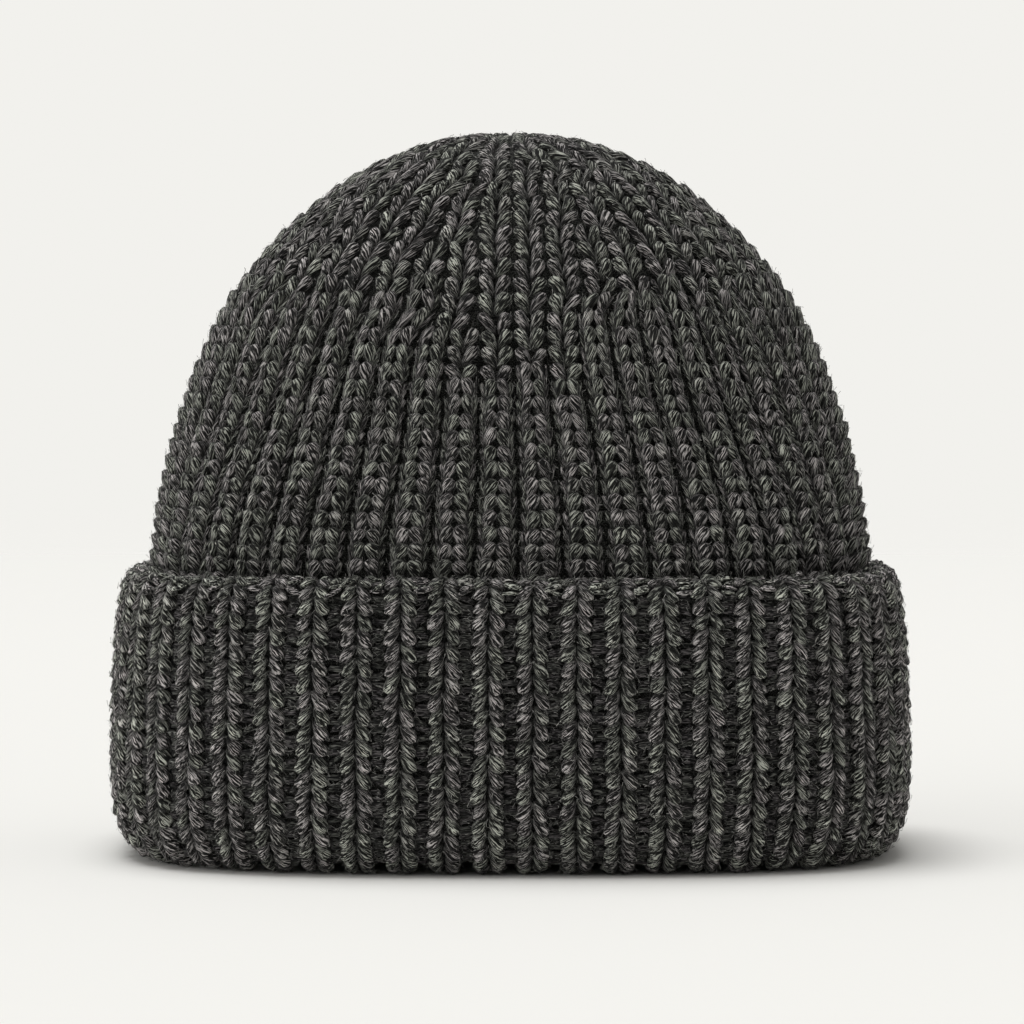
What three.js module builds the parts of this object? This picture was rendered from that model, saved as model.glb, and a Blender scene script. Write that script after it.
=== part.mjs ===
import * as THREE from 'three';

// Ribbed beanie with a turned-up cuff, resting on the fold of its cuff.
// Sizes are in millimetres. The front faces -Y, +X runs across and +Z is up.

// Overall sizes
const HAT_HEIGHT = 188;
const CUFF_WIDTH = 210;
const CUFF_DEPTH = 160;
const CUFF_HEIGHT = 75;

// Knit
const CROWN_WALL = 6.5;
const CUFF_WALL = 8;
const FOLD_THICKNESS = 8;
const LAYER_GAP = 0.3;
const CROWN_RIB_DEPTH = 3;
const CUFF_RIB_DEPTH = 3.2;
const INNER_RIB_DEPTH = 1.4;

// The inner band leans in towards the cuff's top edge by this much on each side.
const BAND_TAPER = 3;

// Gathered tip: the ribs grow shallower where the crown is narrower than the gather.
const GATHER_HALF_WIDTH = 46;
const TIP_DIMPLE = 2.6;
const TIP_RADIUS = 2.2;
const TIP_FORWARD = 5;

// The crown is knitted in equal panels, counted from the front centre towards -X.
const PANELS = 9;

// Squareness of the oval section: 2 is an ellipse, more is boxier.
const BAND_SQUARENESS = 2.6;

// Steps for measuring the way round a section
const SECTION_STEPS = 720;

// Outline of the crown above the cuff: height as a share of the height above the cuff's top edge,
// half width and half depth as shares of the crown's at that edge, and the section's squareness.
const CROWN_OUTLINE = [
  { height: 0.0, width: 1.0, depth: 1.0, squareness: BAND_SQUARENESS },
  { height: 0.13, width: 0.983, depth: 0.985, squareness: 2.58 },
  { height: 0.26, width: 0.952, depth: 0.958, squareness: 2.55 },
  { height: 0.38, width: 0.91, depth: 0.92, squareness: 2.5 },
  { height: 0.49, width: 0.86, depth: 0.873, squareness: 2.45 },
  { height: 0.59, width: 0.803, depth: 0.82, squareness: 2.4 },
  { height: 0.68, width: 0.735, depth: 0.755, squareness: 2.35 },
  { height: 0.765, width: 0.648, depth: 0.672, squareness: 2.3 },
  { height: 0.84, width: 0.548, depth: 0.575, squareness: 2.25 },
  { height: 0.905, width: 0.438, depth: 0.465, squareness: 2.2 },
  { height: 0.955, width: 0.315, depth: 0.34, squareness: 2.1 },
  { height: 0.985, width: 0.2, depth: 0.22, squareness: 2.0 },
  { height: 1.0, width: 0.085, depth: 0.1, squareness: 2.0 },
];

// How wide each rib of a panel is beside the others, by height share, as ribs are knitted together.
const RIB_WIDTHS = [
  { height: 0.0, widths: [1, 1, 1, 1, 1, 1] },
  { height: 0.5, widths: [1, 1, 1, 1, 1, 1] },
  { height: 0.6, widths: [1, 0.5, 0.5, 1, 1, 1] },
  { height: 0.7, widths: [0.8, 0.4, 0.4, 0.8, 1, 1] },
  { height: 0.8, widths: [0.4, 0.3, 0.3, 0.4, 1, 1] },
  { height: 0.9, widths: [0.25, 0.25, 0.25, 0.25, 0.8, 0.8] },
  { height: 1.0, widths: [0.25, 0.25, 0.25, 0.25, 0.5, 0.5] },
];

// Height share at which the groove before each rib of a panel closes. Past 1 it runs to the tip.
const GROOVE_ENDS = [1.2, 0.74, 0.56, 0.7, 1.2, 0.92];
const GROOVE_FADE = 0.07;

// Points across one rib: place from its groove to the next one, and share of the groove's depth.
const RIB_FORM = [
  { place: 0.0, depth: 1.0 },
  { place: 0.22, depth: 0.25 },
  { place: 0.5, depth: 0.0 },
  { place: 0.78, depth: 0.25 },
];
const PLAIN_RIB_FORM = [
  { place: 0.0, depth: 1.0 },
  { place: 0.5, depth: 0.0 },
];

// Outside of the cuff from its top edge to the ground: height as a share of the cuff's height,
// distance in from the cuff's widest line as a share of its wall, and share of the rib depth.
const CUFF_OUTLINE = [
  { height: 1.0, inset: 0.9, ribs: 0.35 },
  { height: 0.972, inset: 0.55, ribs: 0.7 },
  { height: 0.9, inset: 0.3, ribs: 1.0 },
  { height: 0.62, inset: 0.08, ribs: 1.0 },
  { height: 0.3, inset: 0.0, ribs: 1.0 },
  { height: 0.15, inset: 0.1, ribs: 1.0 },
  { height: 0.075, inset: 0.3, ribs: 0.8 },
  { height: 0.025, inset: 0.6, ribs: 0.45 },
  { height: 0.0, inset: 0.95, ribs: 0.0 },
];

// Underside of the fold, from the flat that it rests on to the hollow: distance in from the inside
// of the cuff as a share of the crown's wall, and height as a share of the fold's thickness.
const FOLD_OUTLINE = [
  { inset: 0.45, height: 0.0 },
  { inset: 0.85, height: 0.22 },
  { inset: 1.0, height: 0.62 },
];

const CUFF_COLOUR = 0x33332f;
const CROWN_COLOUR = 0x3a3a37;
const KNIT_ROUGHNESS = 0.95;

const BAND_FOOT = FOLD_THICKNESS + LAYER_GAP;
const CROWN_RISE = HAT_HEIGHT - CUFF_HEIGHT;

// Half sizes of the oval between the two layers, on the inside of the cuff, at a height.
function insideOfCuff(height) {
  const lean = BAND_TAPER * Math.max(0, height - BAND_FOOT) / (CUFF_HEIGHT - BAND_FOOT);
  return {
    width: CUFF_WIDTH / 2 - CUFF_WALL - lean,
    depth: CUFF_DEPTH / 2 - CUFF_WALL - lean,
  };
}

// A value at a height share, straight between the rows of a table.
function between(rows, height, read) {
  const above = rows.findIndex((row) => row.height >= height);
  if (above === 0) {
    return read(rows[0]);
  }
  if (above < 0) {
    return read(rows[rows.length - 1]);
  }
  const low = rows[above - 1];
  const high = rows[above];
  const share = (height - low.height) / (high.height - low.height);
  return THREE.MathUtils.lerp(read(low), read(high), share);
}

// Points round an oval section from the front centre towards -X, with the distance walked to each.
function walkSection(level) {
  const points = [];
  let walked = 0;
  for (let step = 0; step <= SECTION_STEPS; step += 1) {
    const angle = step / SECTION_STEPS * 2 * Math.PI;
    const power = 2 / level.squareness;
    const across = Math.abs(Math.sin(angle)) ** power * Math.sign(Math.sin(angle));
    const along = Math.abs(Math.cos(angle)) ** power * Math.sign(Math.cos(angle));
    const point = new THREE.Vector2(-level.width * across, -level.depth * along);
    if (step > 0) {
      walked += point.distanceTo(points[step - 1].point);
    }
    points.push({ point, walked });
  }
  return points;
}

// The point at a share of the way round a walked section.
function pointAt(walk, share) {
  const target = share * walk[walk.length - 1].walked;
  let low = 0;
  let high = walk.length - 1;
  while (high - low > 1) {
    const middle = Math.floor((low + high) / 2);
    if (walk[middle].walked <= target) {
      low = middle;
    } else {
      high = middle;
    }
  }
  const part = (target - walk[low].walked) / (walk[high].walked - walk[low].walked);
  return walk[low].point.clone().lerp(walk[high].point, part);
}

// The ribs of one panel that are apart at a height share: where each starts and ends across the
// panel, and how deep the grooves before and after it still are.
function panelRibs(height) {
  const widths = GROOVE_ENDS.map((_, rib) => between(RIB_WIDTHS, height, (row) => row.widths[rib]));
  const total = widths.reduce((sum, width) => sum + width, 0);
  const ribs = [];
  let place = 0;
  GROOVE_ENDS.forEach((end, rib) => {
    const groove = THREE.MathUtils.clamp((end - height) / GROOVE_FADE, 0, 1);
    if (groove > 0) {
      ribs.push({ start: place / total, groove });
    }
    place += widths[rib];
  });
  return ribs.map((rib, index) => ({
    ...rib,
    end: index + 1 < ribs.length ? ribs[index + 1].start : 1,
    nextGroove: ribs[(index + 1) % ribs.length].groove,
  }));
}

// A ring of points round a section, each with its share of the way round.
function makeRing(level, form) {
  const walk = walkSection(level);
  const ribs = panelRibs(level.share);
  const ring = [];
  for (let panel = 0; panel < PANELS; panel += 1) {
    for (const rib of ribs) {
      for (const spot of form) {
        const across = THREE.MathUtils.lerp(rib.start, rib.end, spot.place);
        const share = (panel + across) / PANELS;
        const groove = THREE.MathUtils.lerp(rib.groove, rib.nextGroove, spot.place);
        const point = pointAt(walk, share);
        point.setLength(point.length() - level.ribDepth * spot.depth * groove);
        ring.push({ share, place: new THREE.Vector3(point.x, point.y - level.forward, level.height) });
      }
    }
  }
  return ring;
}

// The share of the way round of the point after this one, 1 back at the start, endless once past it.
function nextShare(ring, index) {
  if (index >= ring.length) {
    return Infinity;
  }
  return index + 1 === ring.length ? 1 : ring[index + 1].share;
}

// Triangles of the closed strip between two rings, stepping along whichever ring is behind.
function bridgeRings(lower, upper) {
  const corners = [];
  let low = 0;
  let high = 0;
  while (low < lower.length || high < upper.length) {
    const lowCorner = lower[low % lower.length].place;
    const highCorner = upper[high % upper.length].place;
    if (nextShare(lower, low) <= nextShare(upper, high)) {
      low += 1;
      corners.push(lowCorner, highCorner, lower[low % lower.length].place);
    } else {
      high += 1;
      corners.push(lowCorner, highCorner, upper[high % upper.length].place);
    }
  }
  return corners;
}

// Triangles that close a ring at one point.
function closeRing(ring, tip) {
  return ring.flatMap((corner, index) => [corner.place, tip, ring[(index + 1) % ring.length].place]);
}

function makeMesh(name, corners, colour) {
  const geometry = new THREE.BufferGeometry().setFromPoints(corners);
  geometry.computeVertexNormals();
  const material = new THREE.MeshStandardMaterial({
    color: colour,
    roughness: KNIT_ROUGHNESS,
    metalness: 0,
  });
  const mesh = new THREE.Mesh(geometry, material);
  mesh.name = name;
  return mesh;
}

// Outer levels of the inner band and the crown, from the band's foot to the tip.
function crownLevels() {
  const foot = insideOfCuff(BAND_FOOT);
  const edge = insideOfCuff(CUFF_HEIGHT);
  const bandFoot = {
    width: foot.width - LAYER_GAP,
    depth: foot.depth - LAYER_GAP,
    height: BAND_FOOT,
    share: 0,
    squareness: BAND_SQUARENESS,
    forward: 0,
  };
  const crown = CROWN_OUTLINE.map((row) => ({
    width: (edge.width - LAYER_GAP) * row.width,
    depth: (edge.depth - LAYER_GAP) * row.depth,
    height: CUFF_HEIGHT + CROWN_RISE * row.height,
    share: row.height,
    squareness: row.squareness,
    forward: TIP_FORWARD * row.height ** 3,
  }));
  return [bandFoot, ...crown];
}

// The same levels moved in by the wall, square to the outline.
function insideLevels(levels) {
  return levels.map((level, index) => {
    if (index === 0) {
      return { ...level, width: level.width - CROWN_WALL, depth: level.depth - CROWN_WALL };
    }
    const below = levels[index - 1];
    const above = levels[Math.min(levels.length - 1, index + 1)];
    const rise = above.height - below.height;
    const run = below.width - above.width;
    const inwards = CROWN_WALL * rise / Math.hypot(rise, run);
    const down = CROWN_WALL * run / Math.hypot(rise, run);
    return {
      ...level,
      width: level.width - inwards,
      depth: level.depth - inwards,
      height: level.height - down,
    };
  });
}

// How much of their depth the ribs keep at a level of the crown.
function gatherShare(level) {
  return Math.min(1, level.width / GATHER_HALF_WIDTH);
}

function makeCrown() {
  const outside = crownLevels();
  const inside = insideLevels(outside);
  const outerRings = outside.map((level) => (
    makeRing({ ...level, ribDepth: CROWN_RIB_DEPTH * gatherShare(level) }, RIB_FORM)
  ));
  const innerRings = inside.map((level) => (
    makeRing({ ...level, ribDepth: -INNER_RIB_DEPTH * gatherShare(level) }, PLAIN_RIB_FORM)
  ));
  const rim = outside[outside.length - 1];
  const dimple = {
    ...rim,
    width: TIP_RADIUS,
    depth: TIP_RADIUS,
    height: rim.height - TIP_DIMPLE / 2,
    ribDepth: 0,
  };
  outerRings.push(makeRing(dimple, PLAIN_RIB_FORM));
  const tip = new THREE.Vector3(0, -rim.forward, rim.height - TIP_DIMPLE);
  const innerRim = inside[inside.length - 1];
  const ceiling = new THREE.Vector3(0, -innerRim.forward, innerRim.height - TIP_DIMPLE / 2);

  const corners = bridgeRings(innerRings[0], outerRings[0]);
  for (let index = 1; index < outerRings.length; index += 1) {
    corners.push(...bridgeRings(outerRings[index - 1], outerRings[index]));
  }
  corners.push(...closeRing(outerRings[outerRings.length - 1], tip));
  for (let index = 1; index < innerRings.length; index += 1) {
    corners.push(...bridgeRings(innerRings[index], innerRings[index - 1]));
  }
  corners.push(...closeRing(innerRings[innerRings.length - 1].toReversed(), ceiling));
  return makeMesh('crown', corners, CROWN_COLOUR);
}

function makeCuff() {
  const plain = { share: 0, squareness: BAND_SQUARENESS, ribDepth: 0, forward: 0 };
  const outerRings = CUFF_OUTLINE.map((row) => makeRing({
    ...plain,
    width: CUFF_WIDTH / 2 - CUFF_WALL * row.inset,
    depth: CUFF_DEPTH / 2 - CUFF_WALL * row.inset,
    height: CUFF_HEIGHT * row.height,
    ribDepth: CUFF_RIB_DEPTH * row.ribs,
  }, RIB_FORM));
  const foot = insideOfCuff(BAND_FOOT);
  const foldRings = FOLD_OUTLINE.map((row) => makeRing({
    ...plain,
    width: foot.width - CROWN_WALL * row.inset,
    depth: foot.depth - CROWN_WALL * row.inset,
    height: FOLD_THICKNESS * row.height,
  }, PLAIN_RIB_FORM));
  const seatInside = makeRing({
    ...plain,
    width: foot.width - CROWN_WALL,
    depth: foot.depth - CROWN_WALL,
    height: FOLD_THICKNESS,
  }, PLAIN_RIB_FORM);
  const seatOutside = makeRing({ ...plain, ...foot, height: FOLD_THICKNESS }, PLAIN_RIB_FORM);
  const lipHeight = CUFF_HEIGHT * CUFF_OUTLINE[1].height;
  const lip = makeRing({ ...plain, ...insideOfCuff(lipHeight), height: lipHeight }, PLAIN_RIB_FORM);
  const rings = [...outerRings, ...foldRings, seatInside, seatOutside, lip];
  const corners = rings.flatMap((ring, index) => bridgeRings(rings[(index + 1) % rings.length], ring));
  return makeMesh('cuff', corners, CUFF_COLOUR);
}

const beanie = new THREE.Group();
beanie.name = 'ribbed_beanie';
beanie.add(makeCrown());
beanie.add(makeCuff());

export default beanie;
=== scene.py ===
"""A charcoal ribbed beanie with a turned-up cuff, knitted stitch by stitch round its frame.

Lengths are in metres unless a name says otherwise. The front faces -Y, +X runs across and +Z is up.
"""

import logging
import math
from dataclasses import dataclass, field, replace
from enum import Enum

import bpy
import numpy as np
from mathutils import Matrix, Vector


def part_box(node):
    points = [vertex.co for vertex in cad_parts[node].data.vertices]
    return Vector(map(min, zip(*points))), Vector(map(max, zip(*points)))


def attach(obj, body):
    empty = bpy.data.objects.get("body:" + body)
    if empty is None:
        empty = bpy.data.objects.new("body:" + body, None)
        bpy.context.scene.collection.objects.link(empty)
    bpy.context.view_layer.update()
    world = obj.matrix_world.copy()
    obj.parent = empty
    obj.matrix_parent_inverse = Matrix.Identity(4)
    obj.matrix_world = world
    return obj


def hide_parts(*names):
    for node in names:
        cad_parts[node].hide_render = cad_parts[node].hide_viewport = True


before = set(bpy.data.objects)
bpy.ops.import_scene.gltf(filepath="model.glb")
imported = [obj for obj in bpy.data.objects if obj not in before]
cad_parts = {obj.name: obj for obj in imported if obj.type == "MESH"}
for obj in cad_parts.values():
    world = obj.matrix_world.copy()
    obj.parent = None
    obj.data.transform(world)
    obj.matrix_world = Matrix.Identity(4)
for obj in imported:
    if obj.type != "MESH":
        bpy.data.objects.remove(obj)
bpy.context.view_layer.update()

LOG = logging.getLogger("beanie")
MM = 0.001
SEED = 4127
Colour = tuple[float, float, float]

# Driving sizes, read from the frame where it holds them
HAT_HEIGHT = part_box("crown")[1].z
CUFF_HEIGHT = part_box("cuff")[1].z
CUFF_HALF_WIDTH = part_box("cuff")[1].x
CUFF_HALF_DEPTH = 80 * MM
CROWN_HALF_WIDTH = 93.7 * MM
CROWN_HALF_DEPTH = 68.7 * MM
CROWN_WALL = 6.5 * MM
CUFF_WALL = 8 * MM
FOLD_THICKNESS = 8 * MM
LAYER_GAP = 0.3 * MM
BAND_TAPER = 3 * MM
BAND_FOOT = FOLD_THICKNESS + LAYER_GAP
CROWN_RISE = HAT_HEIGHT - CUFF_HEIGHT
TIP_FORWARD = 5 * MM
TIP_DIMPLE = 2.6 * MM
TIP_RADIUS = 2.2 * MM
BAND_SQUARENESS = 2.6
CUFF_SQUARENESS = 3.05

# How much closer together the cuff's ribs stand at the front and back than at its ends.
CUFF_CROWDING = 0.05

# The crown is knitted in equal panels of six ribs, counted from the front centre towards -X.
PANELS = 9
RIBS_IN_PANEL = 6
RIBS = PANELS * RIBS_IN_PANEL

# Steps for measuring the way round a section, and points the way round a wall
SECTION_STEPS = 1440
WALL_AROUND = RIBS * 4

# Outline of the crown above the cuff: height as a share of the rise, half width and half depth as
# shares of the crown's at the cuff's top edge, and the section's squareness.
CROWN_OUTLINE = (
    (0.0, 1.0, 1.0, BAND_SQUARENESS),
    (0.13, 0.983, 0.985, 2.58),
    (0.26, 0.952, 0.958, 2.55),
    (0.38, 0.91, 0.92, 2.5),
    (0.49, 0.86, 0.873, 2.45),
    (0.59, 0.803, 0.82, 2.4),
    (0.68, 0.735, 0.755, 2.35),
    (0.765, 0.648, 0.672, 2.3),
    (0.84, 0.548, 0.575, 2.25),
    (0.905, 0.438, 0.465, 2.2),
    (0.955, 0.315, 0.34, 2.1),
    (0.985, 0.2, 0.22, 2.0),
    (1.0, 0.085, 0.1, 2.0),
)

# How wide each rib of a panel is beside the others, by height share, as ribs are knitted together.
RIB_WIDTHS = (
    (0.0, (1, 1, 1, 1, 1, 1)),
    (0.52, (1, 1, 1, 1, 1, 1)),
    (0.6, (1, 0.5, 0.5, 1, 1, 1)),
    (0.7, (1, 0.5, 0.5, 1, 1, 1)),
    (0.78, (1, 0.33, 0.33, 0.34, 1, 1)),
    (0.84, (1, 0.33, 0.33, 0.34, 1, 1)),
    (0.9, (0.5, 0.17, 0.16, 0.17, 1, 1)),
    (0.92, (0.5, 0.17, 0.16, 0.17, 1, 1)),
    (0.96, (0.5, 0.17, 0.16, 0.17, 0.5, 0.5)),
    (1.0, (0.5, 0.17, 0.16, 0.17, 0.5, 0.5)),
)

# The stitch columns of a panel up to each height share: the grooves before and after each.
STITCH_COLUMNS = (
    (0.56, [(0, 1), (1, 2), (2, 3), (3, 4), (4, 5), (5, 6)]),
    (0.74, [(0, 1), (1, 3), (3, 4), (4, 5), (5, 6)]),
    (0.87, [(0, 1), (1, 4), (4, 5), (5, 6)]),
    (0.94, [(0, 4), (4, 5), (5, 6)]),
    (0.985, [(0, 4), (4, 6)]),
    (1.10, [(0, 6)]),
)

# How much higher than the front panel's each panel's ribs are knitted together, as a height share
PANEL_SHIFTS = (0.0, 0.07, 0.02, 0.09, 0.04, 0.08, 0.03, 0.1, 0.05)
SHIFTS_END = (0.84, 0.96)

# Outside of the cuff from the lip inside its top edge to the lip inside the fold: distance in from
# the cuff's widest line and height, both in millimetres, and share of the ribs' full relief.
CUFF_PATH = (
    (10.7, 72.4, 0.25),
    (9.3, 74.3, 0.5),
    (7.0, 75.0, 0.85),
    (4.6, 73.4, 1.0),
    (2.9, 69.6, 1.0),
    (1.5, 60.0, 1.0),
    (0.6, 46.0, 1.0),
    (0.0, 24.0, 1.0),
    (0.9, 12.2, 1.0),
    (3.0, 5.8, 1.0),
    (5.9, 2.1, 0.9),
    (9.0, 0.5, 0.7),
    (11.5, 0.3, 0.6),
    (13.4, 2.0, 0.5),
    (14.3, 5.0, 0.4),
    (14.3, 7.8, 0.2),
)

# How far the yarn stands out of each crest surface, in millimetres, the crown's low down and at the
# tip
CUFF_LIFT = 1.2
CROWN_LIFT = (1.1, 0.5)

# How low over the floor the wall, bars, stitches and hairs may lie
WALL_CLEARANCE = 0.4 * MM
CROSS_CLEARANCE = 0.25 * MM
YARN_CLEARANCE = 0.2 * MM
HAIR_CLEARANCE = 0.15 * MM

# How far along the yarn, in millimetres, a stitch may come from, and the tint, tone and painted shade of
# a wall
YARN_REACH = 200
WALL_TONE_AND_SHADE = 0.35

# How far apart the rows of stitches are
CUFF_ROW = 3.93 * MM
CROWN_ROW_LOW = 4.12 * MM
CROWN_ROW_HIGH = 5.0 * MM
CROWN_ROW_TURN = (0.25, 0.7)

# Height share at which two columns of stitches in a rib are knitted into one: in the ribs at the
# front centre, in the others, and how far it strays from rib to rib
FRONT_RIBS = (0, 1, 52, 53)
RIB_NARROWS = 0.43
RIB_NARROWS_FAR = 0.64
RIB_NARROWS_STRAY = 0.02

# How much wider the crown's ribs lie at the front and back than at the sides, just above the cuff,
# and the height shares between which that ends
RIB_STRETCH = 0.11
STRETCH_ENDS = (0.0, 0.5)

# How far the crown's ribs are turned towards +X, in ribs, low down and high up, and the height
# shares between which it changes
RIB_TURN = (0.2, 0.09)
TURN_CHANGES = (0.2, 0.5)

# How much of the cuff's extra squareness the crown has just above it, and where it has none left
CROWN_FIT = 0.65
CROWN_FIT_END = 0.4


def smooth_through(places: np.ndarray, values: np.ndarray, at: np.ndarray) -> np.ndarray:
    """A smooth line through points that doesn't overshoot them.

    Args:
        places: increasing places of the points.
        values: value at each place.
        at: places to read.

    Returns:
        The value at each place of `at`, held flat past the ends.
    """
    steps = np.diff(places)
    slopes = np.diff(values) / steps
    tangents = np.zeros(len(places))
    before, after = slopes[:-1], slopes[1:]
    same_way = before * after > 0
    harmonic = 2 * before * after / np.where(same_way, before + after, 1.0)
    tangents[1:-1] = np.where(same_way, harmonic, 0.0)
    tangents[0], tangents[-1] = slopes[0], slopes[-1]
    inside = np.clip(at, places[0], places[-1])
    low = np.clip(np.searchsorted(places, inside, side="right") - 1, 0, len(steps) - 1)
    width = steps[low]
    part = (inside - places[low]) / width
    rest = 1 - part
    return (
        values[low] * (1 + 2 * part) * rest**2
        + tangents[low] * width * part * rest**2
        + values[low + 1] * part**2 * (3 - 2 * part)
        - tangents[low + 1] * width * part**2 * rest
    )


def soft_step(low: float, high: float, at: np.ndarray) -> np.ndarray:
    """0 below low, 1 above high, and a smooth rise between."""
    part = np.clip((at - low) / (high - low), 0, 1)
    return part * part * (3 - 2 * part)


def walked(first: np.ndarray, second: np.ndarray) -> np.ndarray:
    """Distance walked to each point of a flat line, from its two coordinates."""
    return np.concatenate([[0], np.cumsum(np.hypot(np.diff(first), np.diff(second)))])


def unit(vectors: np.ndarray) -> np.ndarray:
    """The same ways as vectors of length 1."""
    return vectors / np.maximum(np.linalg.norm(vectors, axis=-1, keepdims=True), 1e-12)


def walk_round(
    half_width: float, half_depth: float, squareness: float, shares: np.ndarray
) -> np.ndarray:
    """Points at equal shares of the way round an oval, from the front centre towards -X.

    Args:
        half_width: half its size along X.
        half_depth: half its size along Y.
        squareness: 2 is an ellipse, more is boxier.
        shares: shares of the way round, 0 to 1.

    Returns:
        One (x, y) row for each share.
    """
    angle = np.linspace(0, 2 * math.pi, SECTION_STEPS + 1)
    power = 2 / squareness
    x = -half_width * np.abs(np.sin(angle)) ** power * np.sign(np.sin(angle))
    y = -half_depth * np.abs(np.cos(angle)) ** power * np.sign(np.cos(angle))
    so_far = walked(x, y)
    target = shares * so_far[-1]
    return np.stack([np.interp(target, so_far, x), np.interp(target, so_far, y)], axis=-1)


@dataclass
class KnitSurface:
    """A wall's crest surface, read by share of the way round and by distance along its front line.

    Attributes:
        half_widths: half size along X at each level.
        half_depths: half size along Y at each level.
        heights: height of each level.
        squareness: squareness of each level's oval.
        forward: how far each level is moved towards the front.
        crowding: how much closer together its ribs stand at the front and back than at its ends.
        turned: whether its levels are its widest oval moved straight in, as where an edge turns over.
        around: grid points the way round.
    """

    half_widths: np.ndarray
    half_depths: np.ndarray
    heights: np.ndarray
    squareness: np.ndarray
    forward: np.ndarray
    crowding: float = 0.0
    turned: bool = False
    around: int = 1080
    along: np.ndarray = field(init=False)
    perimeters: np.ndarray = field(init=False)
    points: np.ndarray = field(init=False)
    normals: np.ndarray = field(init=False)

    def __post_init__(self) -> None:
        """Measures the levels and makes the grid of points and outward normals."""
        self.along = walked(self.half_depths, self.heights)
        shares = np.linspace(0, 1, self.around + 1)
        shares -= self.crowding * np.sin(4 * math.pi * shares) / (4 * math.pi)
        rings = []
        for level in range(len(self.heights)):
            ring = self._ring(level, shares)
            ring[:, 1] -= self.forward[level]
            rings.append(np.column_stack([ring, np.full(len(shares), self.heights[level])]))
        self.points = np.stack(rings)
        self.perimeters = np.linalg.norm(np.diff(self.points, axis=1), axis=2).sum(axis=1)
        way_round = np.empty_like(self.points)
        way_round[:, 1:-1] = self.points[:, 2:] - self.points[:, :-2]
        way_round[:, 0] = way_round[:, -1] = self.points[:, 1] - self.points[:, -2]
        way_along = np.gradient(self.points, axis=0)
        normals = unit(np.cross(way_along, way_round))
        middle = len(self.heights) // 3
        outwards = (normals[middle] * self.points[middle] * (1, 1, 0)).sum()
        self.normals = normals if outwards > 0 else -normals

    def _ring(self, level: int, shares: np.ndarray) -> np.ndarray:
        """The oval of a level, at shares of the way round."""
        width, squareness = self.half_widths[level], self.squareness[level]
        if not self.turned:
            return walk_round(width, self.half_depths[level], squareness, shares)
        widest = walk_round(self.half_widths.max(), self.half_depths.max(), squareness, shares)
        way = unit(np.gradient(np.concatenate([widest[-2:-1], widest, widest[1:2]]), axis=0)[1:-1])
        return widest - (self.half_widths.max() - width) * np.stack([-way[:, 1], way[:, 0]], axis=1)

    @property
    def length(self) -> float:
        """Distance along the front line from the first level to the last."""
        return float(self.along[-1])

    def perimeter_at(self, along: np.ndarray) -> np.ndarray:
        """Distance the way round at places along the wall."""
        return np.interp(along, self.along, self.perimeters)

    def rise_at(self, along: np.ndarray) -> np.ndarray:
        """Height over the cuff at places along the wall, as a share of the crown's rise."""
        return (np.interp(along, self.along, self.heights) - CUFF_HEIGHT) / CROWN_RISE

    def place(self, share: np.ndarray, along: np.ndarray, lift: np.ndarray) -> np.ndarray:
        """Points on or off the surface.

        Args:
            share: share of the way round, any number, as it wraps.
            along: distance along the front line.
            lift: distance out along the surface's normal, below 0 for inwards.

        Returns:
            One (x, y, z) for each entry, in the frame.
        """
        column = (share % 1.0) * self.around
        left = np.clip(np.floor(column).astype(int), 0, self.around - 1)
        across = (column - left)[..., None]
        level = np.interp(along, self.along, np.arange(len(self.along)))
        low = np.clip(np.floor(level).astype(int), 0, len(self.along) - 2)
        up = (level - low)[..., None]

        def read(grid: np.ndarray) -> np.ndarray:
            """The grid's value between its four nearest points."""
            lower = grid[low, left] * (1 - across) + grid[low, left + 1] * across
            upper = grid[low + 1, left] * (1 - across) + grid[low + 1, left + 1] * across
            return lower * (1 - up) + upper * up

        return read(self.points) + unit(read(self.normals)) * lift[..., None]


def cuff_surface() -> KnitSurface:
    """The crest surface of the cuff, from the lip inside its top edge down and round the fold."""
    rows = np.array(CUFF_PATH)
    inset, height = rows[:, 0] * MM, rows[:, 1] * MM
    so_far = walked(inset, height)
    at = np.linspace(0, so_far[-1], 220)
    inset, height = smooth_through(so_far, inset, at), smooth_through(so_far, height, at)
    return KnitSurface(
        half_widths=CUFF_HALF_WIDTH - inset,
        half_depths=CUFF_HALF_DEPTH - inset,
        heights=height,
        squareness=np.full(len(at), CUFF_SQUARENESS),
        forward=np.zeros(len(at)),
        crowding=CUFF_CROWDING,
        turned=True,
    )


def crown_surface() -> KnitSurface:
    """The crest surface of the crown, from behind the cuff's top edge up to the dimple at the tip."""
    rows = np.array(CROWN_OUTLINE)
    share, width, depth = rows[:, 0], rows[:, 1] * CROWN_HALF_WIDTH, rows[:, 2] * CROWN_HALF_DEPTH
    below = 8 * MM
    share = np.concatenate([[-below / CROWN_RISE], share])
    width = np.concatenate([[width[0] + 0.1 * MM], width, [TIP_RADIUS]])
    depth = np.concatenate([[depth[0] + 0.1 * MM], depth, [TIP_RADIUS]])
    low_down = 1 - soft_step(0, CROWN_FIT_END, rows[:, 0])
    fitted = CROWN_FIT * (CUFF_SQUARENESS - BAND_SQUARENESS) * low_down
    squareness = np.concatenate([[rows[0, 3] + fitted[0]], rows[:, 3] + fitted, [2.0]])
    height = np.concatenate([CUFF_HEIGHT + CROWN_RISE * share, [HAT_HEIGHT - TIP_DIMPLE]])
    so_far = walked((width + depth) / 2, height)
    at = np.linspace(0, so_far[-1], 300)
    height = smooth_through(so_far, height, at)
    rise = np.clip((height - CUFF_HEIGHT) / CROWN_RISE, 0, 1)
    return KnitSurface(
        half_widths=smooth_through(so_far, width, at),
        half_depths=smooth_through(so_far, depth, at),
        heights=height,
        squareness=smooth_through(so_far, squareness, at),
        forward=TIP_FORWARD * rise**3,
    )


class Lean(Enum):
    """Which end of a stitch's leg stands proud of the next row."""

    PROUD_BELOW = -1
    PROUD_ABOVE = 1


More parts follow.
